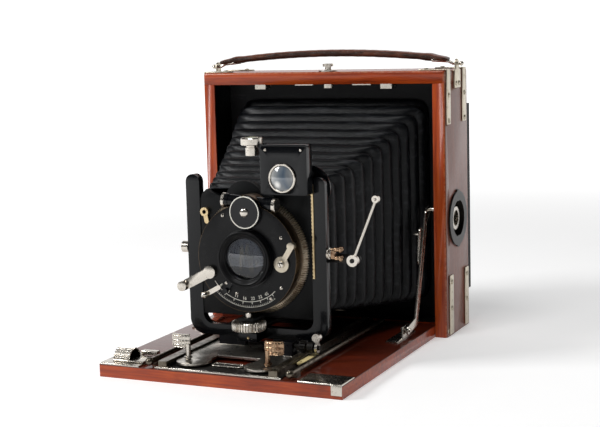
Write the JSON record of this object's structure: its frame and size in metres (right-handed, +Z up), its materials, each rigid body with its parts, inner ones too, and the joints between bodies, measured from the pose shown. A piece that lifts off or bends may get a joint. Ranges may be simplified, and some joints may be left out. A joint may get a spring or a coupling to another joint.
{
  "type": "folding plate camera",
  "caption": "Folding hand-and-stand plate camera: polished wooden case and drop bed, leather bellows, U-shaped lens standard with leaf shutter and waist-level finder.",
  "frame": {"origin": "on the underside of the let-down bed, below the middle of the case's front edge", "axes": "+X to the right of someone facing the lens, +Y from the bed into the case, +Z up"},
  "size_m": [0.17, 0.2048, 0.173],
  "materials": {
    "case_wood": "polished varnish",
    "bed_wood": "polished varnish",
    "black_board": "matt black",
    "nickel": "worn nickel plate",
    "bronze": "worn nickel over brass",
    "black_enamel": "gloss black enamel",
    "ground_glass": "ground on one side",
    "lens_glass": "polished",
    "bellows_leather": "black pleated leather",
    "handle_leather": "worn dark brown",
    "covering": "black grained covering",
    "ivory": "aged ivory-coloured"
  },
  "bodies": {
    "case": {"case_top": "case_wood", "case_bottom": "case_wood", "case_left": "case_wood", "case_right": "case_wood", "bellows_rear_frame": "black_board", "rear_board": "black_board", "back_frame": "case_wood", "back_rails": "black_enamel", "corner_straps": "nickel", "case_screws": "nickel", "handle_lugs": "nickel", "bed_lock_fittings": "nickel", "tripod_dish": "black_enamel", "tripod_bushes": "nickel", "bed_board": "bed_wood", "hinge_rod": "nickel", "bed_corner_plates": "nickel", "track_plate": "black_enamel", "track_rails": "black_enamel", "struts": "nickel", "focus_scale": "ivory", "bellows": "bellows_leather"},
    "focusing_back": {"screen_frame": "black_enamel", "ground_glass": "ground_glass"},
    "hood_lid": {"hood_lid": "covering"},
    "handle": {"handle_strap": "handle_leather", "handle_wires": "nickel"},
    "release_button": {"release_button": "nickel"},
    "bed_catch": {"bed_catch": "nickel"},
    "strut_latch_left": {"strut_latch_left": "nickel"},
    "strut_latch_right": {"strut_latch_right": "nickel"},
    "standard": {"carriage": "nickel", "u_frame": "black_enamel", "scale_strip": "nickel", "sight_arm": "nickel"},
    "pinch_tab_left": {"pinch_tab_left": "nickel"},
    "pinch_tab_right": {"pinch_tab_right": "nickel"},
    "focus_pinion": {"focus_pinion": "nickel"},
    "lock_lever": {"lock_lever": "nickel"},
    "rise_wheel": {"rise_wheel": "nickel"},
    "wing_clamp": {"wing_clamp": "bronze"},
    "left_knob": {"left_knob": "nickel"},
    "sight_rod": {"sight_rod": "nickel"},
    "lens_board": {"lens_board": "black_enamel", "finder_quadrant": "black_enamel", "shutter_body": "black_enamel", "shutter_rim": "nickel", "air_cylinder": "black_enamel", "lens_barrel": "black_enamel", "lens_glass": "lens_glass"},
    "board_latch": {"board_latch": "nickel"},
    "speed_dial": {"speed_dial": "black_enamel"},
    "cocking_lever": {"cocking_lever": "nickel"},
    "release_lever": {"release_lever": "nickel"},
    "selector_lever": {"selector_lever": "nickel"},
    "aperture_pointer": {"aperture_pointer": "nickel"},
    "finder": {"finder_box": "black_enamel", "finder_lens": "lens_glass", "spirit_level": "nickel"},
    "finder_hood": {"finder_hood": "black_enamel"}
  },
  "joints": [
    {"name": "back_slide", "type": "slide", "parent": "case", "child": "focusing_back", "axis": [1, 0, 0], "range_m": [0, 0.13]},
    {"name": "hood_lid_turn", "type": "hinge", "parent": "focusing_back", "child": "hood_lid", "pos_m": [0, 0.05665, 0.0371], "axis": [-1, 0, 0], "range_deg": [0, 85]},
    {"name": "handle_swing", "type": "hinge", "parent": "case", "child": "handle", "pos_m": [0, 0.022, 0.1634], "axis": [1, 0, 0], "range_deg": [-30, 30]},
    {"name": "button_press", "type": "slide", "parent": "case", "child": "release_button", "axis": [0, 0, -1], "range_m": [0, 0.002], "stiffness_N_per_m": 400},
    {"name": "bed_catch_press", "type": "hinge", "parent": "case", "child": "bed_catch", "pos_m": [-0.061, -0.122, 0.0083], "axis": [1, 0, 0], "range_deg": [-3, 0], "stiffness_Nm_per_rad": 0.3},
    {"name": "strut_latch_left_turn", "type": "hinge", "parent": "case", "child": "strut_latch_left", "pos_m": [-0.067, -0.0115, 0.049], "axis": [1, 0, 0], "range_deg": [0, 20]},
    {"name": "strut_latch_right_turn", "type": "hinge", "parent": "case", "child": "strut_latch_right", "pos_m": [0.067, -0.0115, 0.049], "axis": [1, 0, 0], "range_deg": [0, 20]},
    {"name": "standard_slide", "type": "slide", "parent": "case", "child": "standard", "axis": [0, 1, 0], "range_m": [0, 0.07], "deforming": ["bellows"]},
    {"name": "focus_pinion_turn", "type": "hinge", "parent": "standard", "child": "focus_pinion", "pos_m": [0.033, -0.1046, 0.01534], "axis": [1, 0, 0], "range_deg": [-1210, 5]},
    {"name": "lock_lever_turn", "type": "hinge", "parent": "standard", "child": "lock_lever", "pos_m": [0.0425, -0.1046, 0.01534], "axis": [1, 0, 0], "range_deg": [-30, 30]},
    {"name": "pinch_right_squeeze", "type": "hinge", "parent": "standard", "child": "pinch_tab_right", "pos_m": [0.024, -0.131, 0.015], "axis": [0, 0, 1], "range_deg": [0, 10], "stiffness_Nm_per_rad": 0.02},
    {"name": "pinch_left_squeeze", "type": "hinge", "parent": "standard", "child": "pinch_tab_left", "pos_m": [-0.024, -0.131, 0.015], "axis": [0, 0, 1], "range_deg": [-10, 0], "stiffness_Nm_per_rad": 0.02},
    {"name": "board_rise", "type": "slide", "parent": "standard", "child": "lens_board", "axis": [0, 0, 1], "range_m": [0, 0.005]},
    {"name": "rise_wheel_turn", "type": "hinge", "parent": "standard", "child": "rise_wheel", "pos_m": [0, -0.1045, 0.025], "axis": [0, 0, 1], "range_deg": [-5, 725]},
    {"name": "wing_clamp_turn", "type": "hinge", "parent": "standard", "child": "wing_clamp", "pos_m": [0.045, -0.091, 0.065], "axis": [1, 0, 0], "range_deg": [-90, 90]},
    {"name": "left_knob_turn", "type": "hinge", "parent": "standard", "child": "left_knob", "pos_m": [-0.045, -0.091, 0.065], "axis": [1, 0, 0], "range_deg": [-90, 90]},
    {"name": "sight_rod_swing", "type": "hinge", "parent": "standard", "child": "sight_rod", "pos_m": [0.057, -0.091, 0.0615], "axis": [0, 1, 0], "range_deg": [-22, 45]},
    {"name": "board_latch_turn", "type": "hinge", "parent": "lens_board", "child": "board_latch", "pos_m": [-0.0307, -0.094, 0.086], "axis": [0, -1, 0], "range_deg": [-30, 0]},
    {"name": "speed_dial_turn", "type": "hinge", "parent": "lens_board", "child": "speed_dial", "pos_m": [0.0011, -0.106, 0.0884], "axis": [0, -1, 0], "range_deg": [0, 240]},
    {"name": "cocking_lever_turn", "type": "hinge", "parent": "lens_board", "child": "cocking_lever", "pos_m": [-0.0225, -0.1047, 0.054], "axis": [0, 1, 0], "range_deg": [0, 45]},
    {"name": "release_lever_press", "type": "hinge", "parent": "lens_board", "child": "release_lever", "pos_m": [-0.0175, -0.1047, 0.0455], "axis": [0, 1, 0], "range_deg": [0, 14], "stiffness_Nm_per_rad": 0.02},
    {"name": "selector_turn", "type": "hinge", "parent": "lens_board", "child": "selector_lever", "pos_m": [0.0216, -0.1047, 0.0604], "axis": [0, -1, 0], "range_deg": [-20, 20]},
    {"name": "aperture_turn", "type": "hinge", "parent": "lens_board", "child": "aperture_pointer", "pos_m": [0, -0.1047, 0.0625], "axis": [0, -1, 0], "range_deg": [0, 70]},
    {"name": "finder_swing", "type": "hinge", "parent": "lens_board", "child": "finder", "pos_m": [0.0315, -0.094, 0.1003], "axis": [0, 1, 0], "range_deg": [0, 90]},
    {"name": "finder_hood_turn", "type": "hinge", "parent": "finder", "child": "finder_hood", "pos_m": [0.022, -0.0938, 0.1247], "axis": [-1, 0, 0], "range_deg": [0, 85]}
  ],
  "couplings": [
    {"joint": "focus_pinion_turn", "follows": "standard_slide", "rad_per_m": -299.2},
    {"joint": "rise_wheel_turn", "follows": "board_rise", "rad_per_m": 2513.3},
    {"joint": "pinch_left_squeeze", "follows": "pinch_right_squeeze", "ratio": -1}
  ]
}
